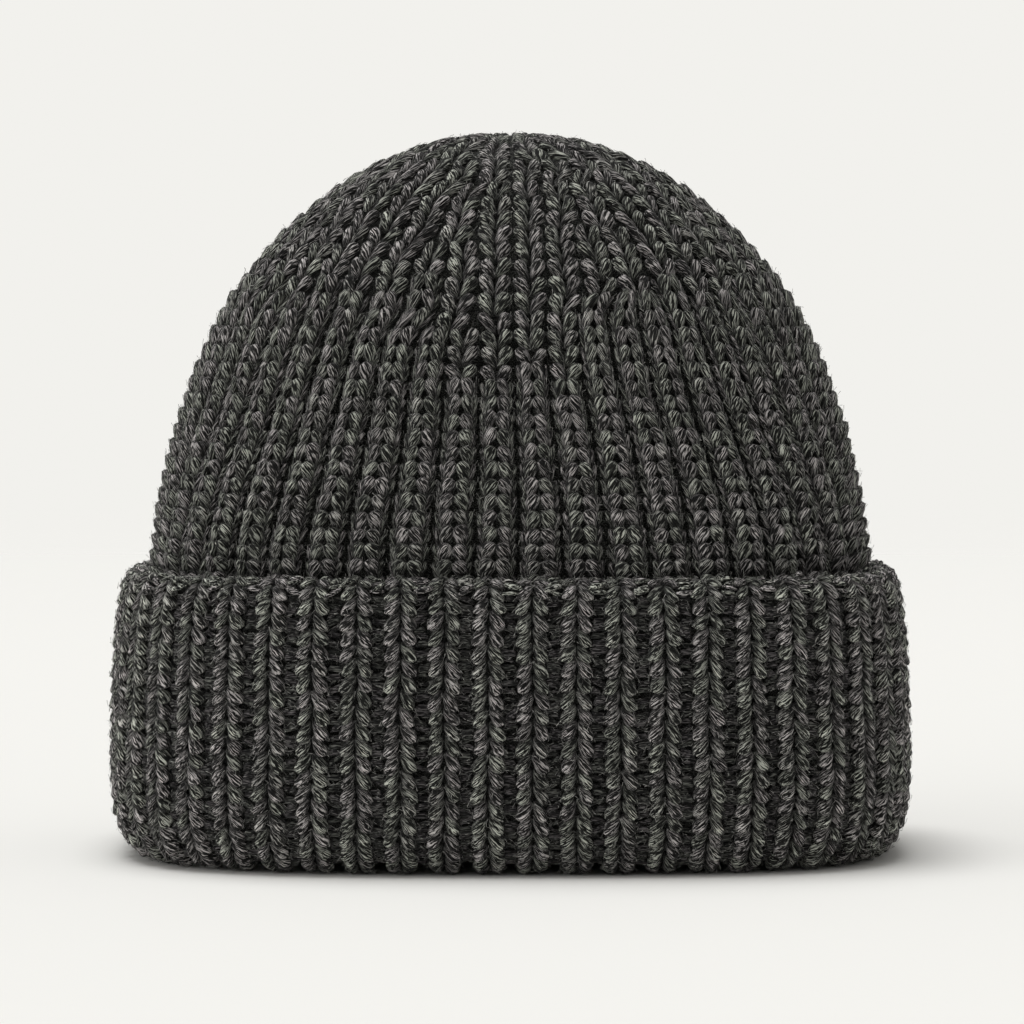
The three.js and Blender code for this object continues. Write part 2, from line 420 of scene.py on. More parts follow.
@dataclass(frozen=True)
class Ridge:
    """The rounded section of a rib, through the middle of its yarn. Lengths are in millimetres."""

    half_width: float
    height: float

    def place(self, arc: np.ndarray, out: np.ndarray) -> tuple[np.ndarray, np.ndarray]:
        """Points over the ridge.

        Args:
            arc: distance from the crest over the ridge, below 0 for the left.
            out: distance out of the ridge.

        Returns:
            Distance across from the rib's middle and height over the crest of each.
        """
        angle = np.linspace(0, math.pi / 2, 61)
        so_far = walked(self.half_width * np.sin(angle), self.height * np.cos(angle))
        turn = np.interp(np.abs(arc), so_far, angle)
        past = np.maximum(np.abs(arc) - so_far[-1], 0)
        across, up = np.sin(turn) / self.half_width, np.cos(turn) / self.height
        size = np.hypot(across, up)
        x = np.sign(arc) * (self.half_width * np.sin(turn) + out * across / size)
        return x, self.height * (np.cos(turn) - 1) - past + out * up / size


@dataclass(frozen=True)
class LegForm:
    """One leg of a knit stitch, laid over the ridge of a rib. Lengths are in millimetres.

    Attributes:
        ridge: the rib's section.
        tucked_arc: distance over the ridge from its crest to the tucked end.
        proud_arc: distance from the crest to the proud end.
        half_width: half the leg's width.
        half_thickness: half its thickness.
        length: length along the rib.
        bluntness: 2 is an oval, more has blunter ends.
        shingle: how far the proud end lies above the tucked end.
        lean: which end stands proud.
        rib_pitch: distance between ribs that these sizes go with.
        row_pitch: distance between rows that these sizes go with.
    """

    ridge: Ridge
    tucked_arc: float
    proud_arc: float
    half_width: float
    half_thickness: float
    length: float
    bluntness: float
    shingle: float
    lean: Lean
    rib_pitch: float
    row_pitch: float


CUFF_LEG = LegForm(
    ridge=Ridge(2.9, 2.8),
    tucked_arc=0.7,
    proud_arc=3.3,
    half_width=2.3,
    half_thickness=1.5,
    length=5.0,
    bluntness=3.2,
    shingle=2.3,
    lean=Lean.PROUD_BELOW,
    rib_pitch=10.84,
    row_pitch=3.93,
)
LOW_INNER_LEG = LegForm(
    ridge=Ridge(4.0, 2.3),
    tucked_arc=3.8,
    proud_arc=0.75,
    half_width=2.05,
    half_thickness=1.4,
    length=5.6,
    bluntness=4.0,
    shingle=2.3,
    lean=Lean.PROUD_ABOVE,
    rib_pitch=10.5,
    row_pitch=4.12,
)
LOW_OUTER_LEG = replace(
    LOW_INNER_LEG,
    tucked_arc=4.4,
    proud_arc=5.5,
    half_width=1.15,
    half_thickness=0.9,
    length=5.4,
    bluntness=3.0,
    shingle=1.2,
)
HIGH_LEG = LegForm(
    ridge=Ridge(3.1, 1.8),
    tucked_arc=0.5,
    proud_arc=2.85,
    half_width=1.85,
    half_thickness=1.4,
    length=5.7,
    bluntness=2.7,
    shingle=2.1,
    lean=Lean.PROUD_ABOVE,
    rib_pitch=8.2,
    row_pitch=4.8,
)


def beside(values: np.ndarray, grid: np.ndarray) -> np.ndarray:
    """One value a row, shaped to go with a grid of as many rows."""
    return values.reshape(-1, *[1] * (grid.ndim - 1))


@dataclass
class MeshSheet:
    """Plain arrays of a mesh: points, each corner's vertex, each face's size and each corner's place
    on the map."""

    points: np.ndarray
    corners: np.ndarray
    sizes: np.ndarray
    uv: np.ndarray | None = None

    def build(
        self, name: str, attributes: dict[str, np.ndarray], material: bpy.types.Material
    ) -> bpy.types.Object:
        """Makes the object, smooth shaded and dressed.

        Args:
            name: name of the object and its mesh.
            attributes: a vector for each vertex, by name.
            material: its finish.

        Returns:
            The new object, in the scene.
        """
        mesh = bpy.data.meshes.new(name)
        mesh.vertices.add(len(self.points))
        mesh.vertices.foreach_set("co", self.points.astype(np.float32).ravel())
        mesh.loops.add(len(self.corners))
        mesh.loops.foreach_set("vertex_index", self.corners.astype(np.int32))
        mesh.polygons.add(len(self.sizes))
        starts = np.concatenate([[0], np.cumsum(self.sizes)[:-1]])
        mesh.polygons.foreach_set("loop_start", starts.astype(np.int32))
        mesh.polygons.foreach_set("use_smooth", np.ones(len(self.sizes), bool))
        if self.uv is not None:
            layer = mesh.uv_layers.new(name="OFBake")
            layer.uv.foreach_set("vector", self.uv.astype(np.float32).ravel())
        for label, values in attributes.items():
            store = mesh.attributes.new(label, "FLOAT_VECTOR", "POINT")
            store.data.foreach_set("vector", values.astype(np.float32).ravel())
        mesh.update()
        mesh.validate()
        mesh.materials.append(material)
        obj = bpy.data.objects.new(name, mesh)
        bpy.context.scene.collection.objects.link(obj)
        return obj


class YarnBead:
    """A closed bead that is modelled once, a stitch's from a sphere or a hair's from a cone."""

    # Gap round each copy's square of the map, as a share of the square, and room left at its right
    UV_MARGIN = 0.04
    UV_WIDTH = 0.98
    POLE = 1e-4

    def __init__(self, sides: int, rings: int) -> None:
        """Makes the bead.

        Args:
            sides: faces the way round it.
            rings: bands of faces from end to end, 1 for a cone.
        """
        if rings > 1:
            bpy.ops.mesh.primitive_uv_sphere_add(segments=sides, ring_count=rings, radius=1)
        else:
            bpy.ops.mesh.primitive_cone_add(vertices=sides, radius1=1, radius2=0, depth=2)
        ball = bpy.context.active_object
        mesh = ball.data
        self.points = np.array([v.co for v in mesh.vertices])
        self.corners = np.array([loop.vertex_index for loop in mesh.loops])
        self.sizes = np.array([len(face.vertices) for face in mesh.polygons])
        bpy.data.objects.remove(ball)
        bpy.data.meshes.remove(mesh)
        self.part = (1 - self.points[:, 2]) / 2
        self.turn = np.arctan2(self.points[:, 1], self.points[:, 0])
        if rings > 1:
            self.uv = self._unwrap()
        else:
            self.uv = np.stack([0.5 + self.points[:, 0] / 2, self.part], axis=1)[self.corners]

    def _unwrap(self) -> np.ndarray:
        """A map of the bead in the unit square, cut along one side."""
        u = (self.turn / (2 * math.pi)) % 1.0
        uv = np.stack([u[self.corners], self.part[self.corners]], axis=1)
        start = 0
        for size in self.sizes:
            face = slice(start, start + size)
            part = self.part[self.corners[face]]
            ends = (part < self.POLE) | (part > 1 - self.POLE)
            around = uv[face, 0]
            if around[~ends].max() - around[~ends].min() > 0.5:
                around[around < 0.5] += 1
            around[ends] = around[~ends].mean()
            start += size
        return uv

    def copy(self, places: np.ndarray) -> MeshSheet:
        """Joins one copy of the bead for each row of places.

        Args:
            places: (copies, vertices, 3) points.

        Returns:
            The joined mesh, with one square of its map for each copy.
        """
        copies, count = places.shape[:2]
        corners = (self.corners[None, :] + count * np.arange(copies)[:, None]).ravel()
        side = math.ceil(math.sqrt(copies))
        cell = np.stack([np.arange(copies) % side, np.arange(copies) // side], axis=1) / side
        inner = (self.uv[None] * (1 - 2 * self.UV_MARGIN) + self.UV_MARGIN) / side
        uv = cell[:, None, :] + inner * (self.UV_WIDTH, 1.0)
        return MeshSheet(places.reshape(-1, 3), corners, np.tile(self.sizes, copies), uv.reshape(-1, 2))


@dataclass
class Knitting:
    """Copies of one bead that make up a piece."""

    bead: YarnBead
    places: np.ndarray
    attributes: dict[str, np.ndarray]

    def build(self, name: str, material: bpy.types.Material) -> bpy.types.Object:
        """Joins the copies into a dressed piece."""
        return self.bead.copy(self.places).build(name, self.attributes, material)


def yarn_attributes(
    local: np.ndarray, open_to_light: np.ndarray, random: np.random.Generator
) -> dict[str, np.ndarray]:
    """What the yarn's finish reads.

    Args:
        local: (copies, vertices, 3) place in each copy's own yarn, in millimetres.
        open_to_light: how open to the light each vertex is, 0 to 1, painted into the colour as shade.
        random: source of the stretch of yarn, tint and tone of each copy.

    Returns:
        The place in the yarn, and the tint, tone and painted shade, as vectors of each vertex.
    """
    copies, count = local.shape[:2]
    stretch = random.uniform(-YARN_REACH, YARN_REACH, size=(copies, 1, 3))
    tones = random.uniform(0, 1, size=(copies, 1, 3)) * np.ones((1, count, 1))
    # The third part is painted shade.
    tones[..., 2] = open_to_light
    return {"yarn": (local + stretch).reshape(-1, 3), "stitch": tones.reshape(-1, 3)}


class RibPlan:
    """Where ribs start and end at each height of the crown."""

    def __init__(self) -> None:
        """Works out the groove lines of one panel on a fine table of height shares."""
        self.shares = np.linspace(0, 1, 401)
        heights = np.array([row[0] for row in RIB_WIDTHS])
        widths = np.array([row[1] for row in RIB_WIDTHS], float)
        columns = [smooth_through(heights, widths[:, rib], self.shares) for rib in range(RIBS_IN_PANEL)]
        total = np.cumsum(columns, axis=0)
        self.lines = np.vstack([np.zeros(len(self.shares)), total]) / total[-1]

    @staticmethod
    def shifted(panel: np.ndarray, share: np.ndarray) -> np.ndarray:
        """The front panel's height share that a panel's ribs are like at its own height share."""
        return share - np.array(PANEL_SHIFTS)[panel] * (1 - soft_step(*SHIFTS_END, share))

    def line(self, index: np.ndarray, panel: np.ndarray, share: np.ndarray) -> np.ndarray:
        """Place across a panel of a groove, 0 to 1, at a height share."""
        level = np.clip(self.shifted(panel, share), 0, 1) * (len(self.shares) - 1)
        low = np.clip(np.floor(level).astype(int), 0, len(self.shares) - 2)
        part = level - low
        return self.lines[index, low] * (1 - part) + self.lines[index, low + 1] * part

    @staticmethod
    def settled(way: np.ndarray, share: np.ndarray) -> np.ndarray:
        """Share of the way round, with ribs stretched at the front and back and turned a little.

        Args:
            way: share of the way round that even ribs would have.
            share: height share.

        Returns:
            The share of the way round as worn.
        """
        low_down = 1 - soft_step(*STRETCH_ENDS, share)
        stretch = RIB_STRETCH * low_down * np.sin(4 * math.pi * way) / (4 * math.pi)
        turned = RIB_TURN[0] + (RIB_TURN[1] - RIB_TURN[0]) * soft_step(*TURN_CHANGES, share)
        return way + stretch - turned / RIBS

    @staticmethod
    def columns_at(share: float) -> list[tuple[int, int]]:
        """The grooves before and after each column of stitches at a height share."""
        return next((columns for top, columns in STITCH_COLUMNS if share < top), STITCH_COLUMNS[-1][1])


class Sheet:
    """A node tree being written, with one method for any node."""

    def __init__(self, owner: bpy.types.Material | bpy.types.World) -> None:
        """Clears the tree of a material or world and keeps hold of it."""
        owner.use_nodes = True
        self.tree = owner.node_tree
        self.tree.nodes.clear()

    def node(self, kind: str, settings: dict | None = None, **inputs: object) -> bpy.types.Node:
        """Adds a node.

        Args:
            kind: the node's Blender type.
            settings: attributes of the node, set first. "stops" fills a colour ramp.
            inputs: values or links by socket name, with spaces as underscores, or `at_3` by number.

        Returns:
            The new node.
        """
        made = self.tree.nodes.new(kind)
        for name, value in (settings or {}).items():
            if name == "stops":
                self._fill_ramp(made, value)
            else:
                setattr(made, name, value)
        for name, value in inputs.items():
            key = int(name[3:]) if name.startswith("at_") else name.replace("_", " ")
            self.connect(value, made.inputs[key])
        return made

    @staticmethod
    def _fill_ramp(made: bpy.types.Node, stops: list[tuple[float, tuple]]) -> None:
        """Gives a colour ramp its stops."""
        ramp = made.color_ramp
        while len(ramp.elements) < len(stops):
            ramp.elements.new(0.5)
        for element, (place, colour) in zip(ramp.elements, stops):
            element.position = place
            element.color = (*colour, 1)

    def connect(self, value: object, socket: bpy.types.NodeSocket) -> None:
        """Links a wire, an output or a node's first output to a socket, or sets a plain value."""
        if isinstance(value, Wire):
            self.tree.links.new(value.socket, socket)
        elif isinstance(value, bpy.types.Node):
            self.tree.links.new(value.outputs[0], socket)
        elif isinstance(value, bpy.types.NodeSocket):
            self.tree.links.new(value, socket)
        elif socket.type == "RGBA" and len(value) == 3:
            socket.default_value = (*value, 1)
        else:
            socket.default_value = value

    def end(self, shader: bpy.types.Node, kind: str = "ShaderNodeOutputMaterial") -> None:
        """Sends a shader to the tree's output."""
        self.node(kind, Surface=shader)

    def wire(self, socket: bpy.types.NodeSocket) -> "Wire":
        """Wraps an output so that it can be used in an expression."""
        return Wire(self, socket)

    def attribute(self, name: str) -> "Wire":
        """A vector attribute of the piece."""
        return self.wire(self.node("ShaderNodeAttribute", {"attribute_name": name}).outputs["Vector"])

    def noise(self, place: "Wire") -> "Wire":
        """Plain noise about 0.5, one wave a unit of place."""
        made = self.node("ShaderNodeTexNoise", Vector=place, Scale=1.0, Detail=0.0, Roughness=0.5)
        return self.wire(made.outputs["Fac"])

    def blend(self, share: "Wire | float", low: object, high: object, way: str = "MIX") -> "Wire":
        """Mixes two colours, or multiplies them if the way says so."""
        settings = {"data_type": "RGBA", "blend_type": way}
        made = self.node("ShaderNodeMix", settings, at_0=share, at_6=low, at_7=high)
        return self.wire(made.outputs[2])

    def brighten(self, colour: object, value: "Wire") -> bpy.types.Node:
        """Multiplies a colour by a value."""
        return self.node("ShaderNodeHueSaturation", Color=colour, Value=value)

    def ramp(self, value: "Wire", low: float, high: float) -> "Wire":
        """0 below low, 1 above high, and a smooth rise between."""
        settings = {"interpolation_type": "SMOOTHSTEP"}
        made = self.node("ShaderNodeMapRange", settings, Value=value, at_1=low, at_2=high)
        return self.wire(made.outputs["Result"])


@dataclass
class Wire:
    """A node's output that takes part in Python expressions, each of which adds its Math node."""

    sheet: Sheet
    socket: bpy.types.NodeSocket

    def _math(self, operation: str, first: object, second: object) -> "Wire":
        """Adds one Math node."""
        made = self.sheet.node("ShaderNodeMath", {"operation": operation}, at_0=first, at_1=second)
        return self.sheet.wire(made.outputs[0])

    def __add__(self, other: object) -> "Wire":
        """This value plus another."""
        return self._math("ADD", self, other)

    def __radd__(self, other: object) -> "Wire":
        """A number plus this value."""
        return self._math("ADD", other, self)

    def __sub__(self, other: object) -> "Wire":
        """This value less another."""
        return self._math("SUBTRACT", self, other)

    def __mul__(self, other: object) -> "Wire":
        """This value times another."""
        return self._math("MULTIPLY", self, other)

    def __rmul__(self, other: object) -> "Wire":
        """A number times this value."""
        return self._math("MULTIPLY", other, self)

    def _vector(self, operation: str, other: tuple[float, float, float]) -> "Wire":
        """Adds one Vector Math node."""
        made = self.sheet.node("ShaderNodeVectorMath", {"operation": operation}, at_0=self, at_1=other)
        return self.sheet.wire(made.outputs[0])

    def stretched(self, by: tuple[float, float, float]) -> "Wire":
        """This vector with each part times its own number."""
        return self._vector("MULTIPLY", by)

    def shifted(self, way: float) -> "Wire":
        """This vector moved by one number along each axis."""
        return self._vector("ADD", (way, way, way))

    def part(self, name: str) -> "Wire":
        """The X, Y or Z of this vector."""
        return self.sheet.wire(self.sheet.node("ShaderNodeSeparateXYZ", Vector=self).outputs[name])


@dataclass(frozen=True)
class Wool:
    """Marled yarn: a dark ply with pale fibres through it."""

    name: str
    dark: Colour = (0.004, 0.004, 0.004)
    body: Colour = (0.015, 0.015, 0.014)
    fair: Colour = (0.038, 0.038, 0.0355)
    pale: Colour = (0.52, 0.515, 0.49)
    tone: float = 1.0

    # Tints that stitches lean to, and height of the strands
    mossy: Colour = (0.97, 1.01, 0.935)
    plum: Colour = (1.03, 0.98, 1.015)
    relief: float = 0.9 * MM

    # Waves a millimetre across, along and out of the yarn, where each noise starts, and its share
    STRANDS = (((3.9, 0.42, 3.9), 0, 0.52), ((5.8, 0.7, 5.8), 40, 0.38), ((1.3, 0.6, 1.3), 90, 0.1))

    # Where the pattern is dark, body, fair and pale, and where the tints change over
    STOPS = (0.41, 0.465, 0.53, 0.59)
    TINT_CHANGES = (0.3, 0.7)

    # Least tone and how much more there is from stitch to stitch, and the same for the painted shade
    # from deep yarn to open yarn
    STITCH_TONES = (0.78, 0.44)
    PAINTED_SHADE_TONES = (0.3, 0.85)

    def make(self) -> bpy.types.Material:
        """Writes the material.

        Returns:
            The material, which reads the "yarn" and "stitch" attributes of a piece.
        """
        material = bpy.data.materials.new(self.name)
        sheet = Sheet(material)
        yarn, stitch = sheet.attribute("yarn"), sheet.attribute("stitch")
        strands = [sheet.noise(yarn.stretched(by).shifted(to)) * share for by, to, share in self.STRANDS]
        pattern = strands[0] + strands[1] + strands[2]
        stops = list(zip(self.STOPS, (self.dark, self.body, self.fair, self.pale)))
        marled = sheet.node("ShaderNodeValToRGB", {"stops": stops}, Fac=pattern)
        tint = sheet.blend(sheet.ramp(stitch.part("X"), *self.TINT_CHANGES), self.mossy, self.plum)
        by_stitch = self.STITCH_TONES[0] + stitch.part("Y") * self.STITCH_TONES[1]
        # Painted shade: darker where the third part of "stitch" is low, on deep and covered yarn.
        painted_shade = self.PAINTED_SHADE_TONES[0] + self.PAINTED_SHADE_TONES[1] * stitch.part("Z")
        tinted = sheet.blend(1.0, marled, tint, "MULTIPLY")
        bump = sheet.node("ShaderNodeBump", Strength=1.0, Distance=self.relief, Height=pattern)
        shader = sheet.node(
            "ShaderNodeBsdfPrincipled",
            Base_Color=sheet.brighten(tinted, self.tone * by_stitch * painted_shade),
            Roughness=0.92,
            Specular_IOR_Level=0.18,
            Sheen_Weight=0.08,
            Sheen_Roughness=0.45,
            Normal=bump,
        )
        sheet.end(shader)
        return material


# The yarn of the crown and the cuff, and darker copies of it that paint shade on the yarn behind the
# crown's stitches and between the cuff's ribs
# The crown's yarn has a lower tone than the cuff's: painted shade over the whole crown.
CROWN_WOOL = Wool("crown_wool", tone=0.8)
CUFF_WOOL = Wool("cuff_wool", tone=0.96)
CROWN_SHADE_WOOL = Wool("crown_shade_wool", pale=(0.2, 0.198, 0.19), tone=0.8)
SHADED_WOOL = Wool(
    "shaded_wool",
    dark=(0.003, 0.003, 0.003),
    body=(0.007, 0.007, 0.007),
    fair=(0.014, 0.0135, 0.0135),
    pale=(0.09, 0.088, 0.086),
    tone=1.4,
)


class Wander:
    """How far each rib strays from its line, as handmade ribs do: sums of waves of these lengths."""

    SIDEWAYS = 0.28 * MM
    ENDWAYS = 0.45 * MM
    WAVES = (37 * MM, 17 * MM, 9 * MM)
    SHARES = (0.6, 0.35, 0.2)

    def __init__(self, random: np.random.Generator) -> None:
        """Draws the phases of every rib's waves."""
        self.phases = random.uniform(0, 2 * math.pi, size=(2, len(self.WAVES), RIBS))

    def _read(self, kind: int, rib: np.ndarray, along: np.ndarray) -> np.ndarray:
        """Sum of the waves of each rib, about -1 to 1."""
        total = np.zeros_like(along)
        for index, (wave, share) in enumerate(zip(self.WAVES, self.SHARES)):
            phase = beside(self.phases[kind, index, rib], along)
            total += share * np.sin(2 * math.pi * along / wave + phase)
        return total

    def across(self, rib: np.ndarray, along: np.ndarray) -> np.ndarray:
        """How far each rib strays sideways."""
        return self.SIDEWAYS * self._read(0, rib, along)

    def along(self, rib: np.ndarray, along: np.ndarray) -> np.ndarray:
        """How far each rib's stitches stray along it."""
        return self.ENDWAYS * self._read(1, rib, along)


@dataclass
class LegPlaces:
    """Where many legs go, one entry each.

    Attributes:
        along: place along the surface of each leg's middle.
        row_pitch: distance to the next row there.
        side: -1 for a leg left of its rib's middle, 1 for one right of it.
        first_groove: groove before the leg's rib, counted in its panel.
        last_groove: groove after the rib.
        panel: the panel the rib is in.
        surface: the surface.
        way: 1 if rows are counted upwards along the surface, -1 if downwards.
        plan: where the grooves run, or None where all ribs are alike.
    """

    along: np.ndarray
    row_pitch: np.ndarray
    side: np.ndarray
    first_groove: np.ndarray
    last_groove: np.ndarray
    panel: np.ndarray
    surface: KnitSurface
    way: int
    plan: RibPlan | None = None

    def _lines(self, along: np.ndarray) -> tuple[np.ndarray, np.ndarray]:
        """Places across the panel of the grooves before and after each leg's rib."""
        spread = np.ones_like(along, dtype=int)
        first, last = beside(self.first_groove, along) * spread, beside(self.last_groove, along) * spread
        if self.plan is None:
            return first / RIBS_IN_PANEL, last / RIBS_IN_PANEL
        share, panel = self.surface.rise_at(along), beside(self.panel, along) * spread
        return self.plan.line(first, panel, share), self.plan.line(last, panel, share)

    def share_at(self, along: np.ndarray, across: np.ndarray) -> np.ndarray:
        """Share of the way round of places across each leg's rib, 0 at one groove and 1 at the next."""
        first, last = self._lines(along)
        share = (beside(self.panel, along) + first + (last - first) * across) / PANELS
        return share if self.plan is None else self.plan.settled(share, self.surface.rise_at(along))

    def pitch_at(self, along: np.ndarray) -> np.ndarray:
        """Width of each leg's rib."""
        first, last = self._lines(along)
        return self.surface.perimeter_at(along) * (last - first) / PANELS


@dataclass
class Stitcher:
    """Lays legs of stitches on a knit surface."""

    surface: KnitSurface
    random: np.random.Generator
    lift: tuple[float, float]  # at the surface's first level and its last, in millimetres
    wander: Wander

    # How much one leg differs from the next: its width and thickness as a share, and where it starts
    # over the ridge, where it ends, its place along the rib and its depth, in millimetres
    STRAYS = (0.07, 0.07, 0.12, 0.14, 0.14, 0.1)

    # A leg's fullness at its tucked end, and how much fuller its proud end is
    FULLNESS = (0.74, 0.3)

    # How far a leg bows over the ridge, in millimetres, and the part of it that lies on the ridge
    BOW = 0.3
    LEVEL_PART = 0.72

    # How steeply a leg of the cuff leaves its tucked end, 1 for straight
    CUFF_EASE = 1.4

    # Turns of the plies along a leg, by which end is higher and by which side it is on
    TWISTS = (0.75, 0.25)

    def _lift_at(self, along: np.ndarray) -> np.ndarray:
        """How far the yarn stands out of the surface at places along it."""
        part = np.clip(along / self.surface.length, 0, 1)
        return self.lift[0] + (self.lift[1] - self.lift[0]) * part**3

    def lay(self, form: LegForm, bead: YarnBead, batch: LegPlaces) -> Knitting:
        """Shapes and places many legs.

        Args:
            form: shape of one leg.
            bead: the bead that each is shaped from.
            batch: where they go.

        Returns:
            The legs.
        """
        count = len(batch.along)
        part = bead.part[None, :]
        across, out = np.cos(bead.turn)[None, :], np.sin(bead.turn)[None, :]
        rounded = np.sqrt(np.clip(1 - np.abs(2 * part - 1) ** form.bluntness, 0, 1))
        fullness = rounded * (self.FULLNESS[0] + self.FULLNESS[1] * part)
        draw = self.random.normal(size=(7, count, 1))
        strays = [stray * drawn for stray, drawn in zip(self.STRAYS, draw)]
        wide, thick = form.half_width * (1 + strays[0]), form.half_thickness * (1 + strays[1])
        start, end = form.tucked_arc + strays[2], form.proud_arc + strays[3]
        norm = np.hypot(end - start, form.length)
        eased = 1 - (1 - part) ** (self.CUFF_EASE if form.lean is Lean.PROUD_BELOW else 1.0)
        line = start + (end - start) * eased + self.BOW * np.sin(math.pi * part)
        arc = line + wide * fullness * across * form.length / norm
        run = form.length * (part - 0.5) - wide * fullness * across * (end - start) / norm + strays[4]
        depth = form.shingle * (part - self.LEVEL_PART) + strays[5] + thick * fullness * out
        x, z = form.ridge.place(arc, depth)
        x = batch.side[:, None] * x
        pitch = batch.pitch_at(batch.along)[:, None] / MM
        spread = np.clip(pitch / form.rib_pitch, 0.3, 1.25)
        rows = form.lean.value * batch.way * run / form.row_pitch
        along = batch.along[:, None] + rows * batch.row_pitch[:, None]
        rib = batch.panel * RIBS_IN_PANEL + batch.first_groove
        along = along + self.wander.along(rib, along)
        share = batch.share_at(along, 0.5 + x * spread / np.maximum(pitch, 0.1))
        aside = self.wander.across(rib, along) * np.clip(spread, 0, 1)
        share = share + aside / self.surface.perimeter_at(along)
        lift = ((z - form.half_thickness) * np.clip(spread, 0.3, 1.0) + self._lift_at(along)) * MM
        places = self.surface.place(share, along, lift)
        places[..., 2] = np.maximum(places[..., 2], YARN_CLEARANCE)
        slope = np.sign(form.proud_arc - form.tucked_arc)
        twist = (part - 0.5) * (self.TWISTS[0] * slope + self.TWISTS[1] * batch.side[:, None])
        turn = bead.turn[None, :] + twist
        way = form.length * part + 0 * turn
        local = np.stack([wide * np.cos(turn), way, thick * np.sin(turn)], axis=-1)
        # Painted shade: each leg darkens towards its tucked end, where the next row covers it, and where
        # it lies deep.
        covered = 1 - form.row_pitch / form.length
        open_to_light = 0.3 + 0.7 * soft_step(covered - 0.12, covered + 0.3, part)
        open_to_light = open_to_light * soft_step(-1.1 - 0.5 * form.shingle, 0.9, depth)
        return Knitting(bead, places, yarn_attributes(local, open_to_light, self.random))


@dataclass(frozen=True)
class CrossBead:
    """A short piece of yarn that lies across the groove between two ribs. Lengths are in millimetres."""

    half_length: float
    half_thickness: float
    depth: float  # how high it lies over the ribs' crests
    droop: float  # how far its ends lie below its middle, along the wall

    # How much one differs from the next: thickness and length as shares, place along and depth,
    # place across and tilt
    STRAYS = (0.22, 0.15, 0.3, 0.3)
    ACROSS_STRAY = 0.4
    TILT_STRAY = 0.7

    def lay(
        self, surface: KnitSurface, bead: YarnBead, rows: np.ndarray, random: np.random.Generator
    ) -> Knitting:
        """Shapes and places one in each groove of each row.

        Args:
            surface: the wall that they lie on.
            bead: the bead that each is shaped from.
            rows: places of the rows along the wall.
            random: source of the small irregularities.

        Returns:
            The beads.
        """
        along, groove = (grid.ravel() for grid in np.meshgrid(rows, np.arange(RIBS), indexing="ij"))
        count = len(along)
        draw = random.normal(size=(4, count, 1))
        strays = [stray * drawn for stray, drawn in zip(self.STRAYS, draw)]
        part = bead.part[None, :] * 2 - 1
        thick = self.half_thickness * (1 + strays[0]) * np.sqrt(np.clip(1 - part**2, 0, 1)) ** 0.8
        aside = self.ACROSS_STRAY * random.normal(size=(count, 1))
        x = self.half_length * (1 + strays[1]) * part + aside
        tilt = self.TILT_STRAY * random.normal(size=(count, 1))
        run = thick * np.cos(bead.turn)[None, :] + self.droop * part**2 + strays[2] + tilt * part
        lift = self.depth + thick * np.sin(bead.turn)[None, :] + strays[3] - 0.5 * part**2
        where = along[:, None] + run * MM
        share = (groove / RIBS)[:, None] + x * MM / surface.perimeter_at(where)
        places = surface.place(share, where, lift * MM)
        places[..., 2] = np.maximum(places[..., 2], CROSS_CLEARANCE)
        # Painted shade: each bead is darker on its side towards the wall.
        open_to_light = 0.4 + 0.6 * soft_step(-1, 0.6, np.sin(bead.turn))
        return Knitting(bead, places, yarn_attributes(np.stack([run, x, lift], axis=-1), open_to_light, random))


